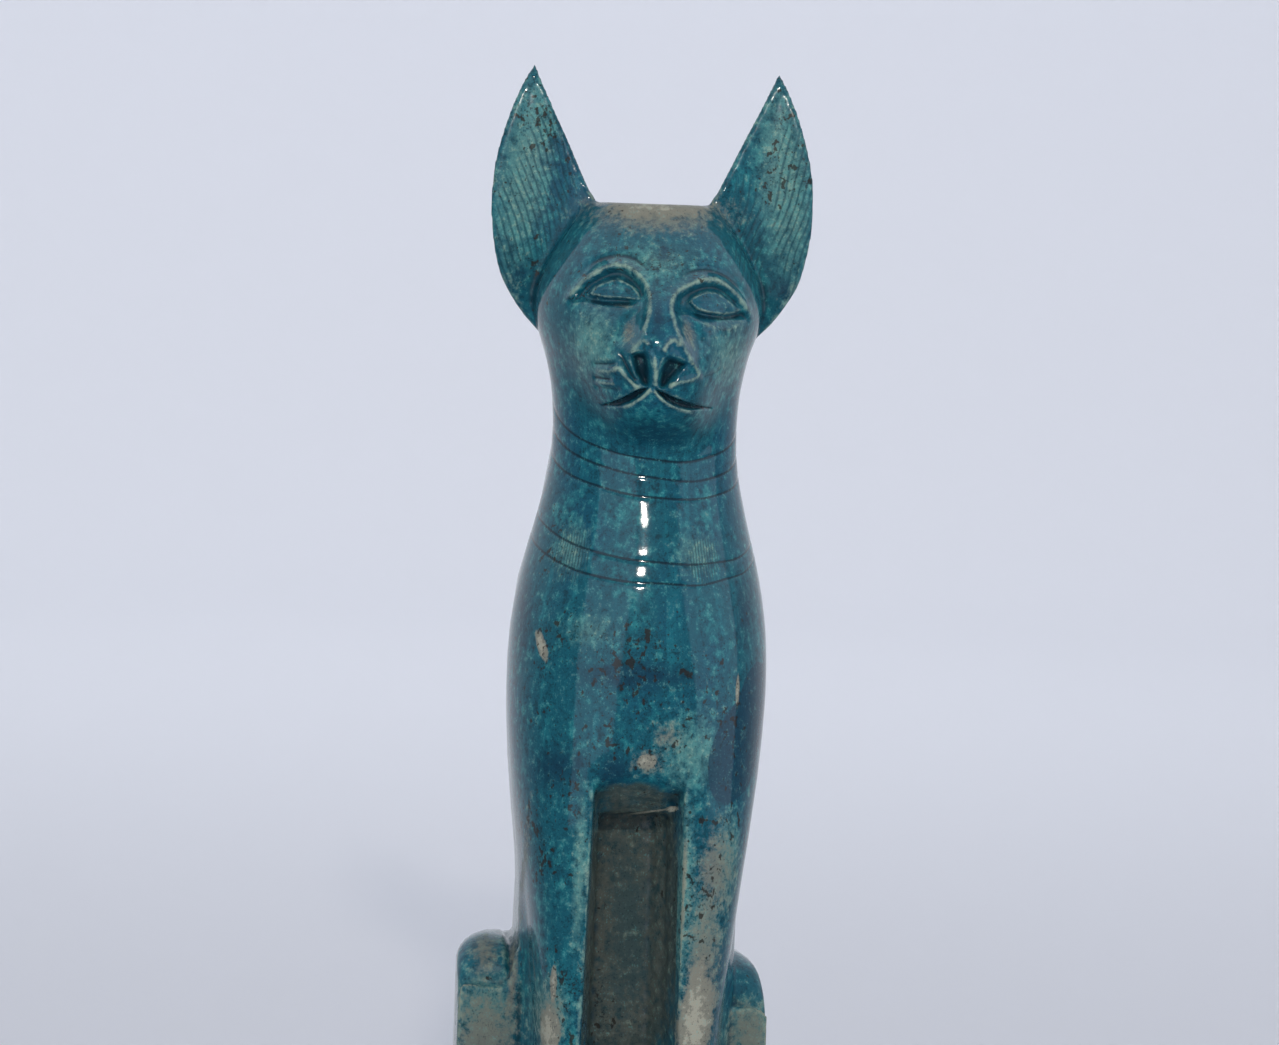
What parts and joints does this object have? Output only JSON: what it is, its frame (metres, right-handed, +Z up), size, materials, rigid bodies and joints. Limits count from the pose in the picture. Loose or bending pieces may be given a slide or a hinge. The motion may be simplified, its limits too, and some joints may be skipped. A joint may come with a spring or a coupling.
{
  "type": "seated cat statuette",
  "caption": "Slender seated cat with tall upright ears and incised neck rings, carved in one with its low base and glazed turquoise. Stands on a shelf as an ornament.",
  "frame": {"origin": "middle of the base's flat underside", "axes": "+Z up to the ear tips, -Y the way the cat faces, +X its left side"},
  "size_m": [0.074, 0.106, 0.2486],
  "materials": {
    "glazed_stone": "uneven glossy turquoise glaze over carved stone, dark blue where it pooled and thin on the edges"
  },
  "bodies": {
    "root": {"seated_cat": "glazed_stone"}
  },
  "joints": []
}
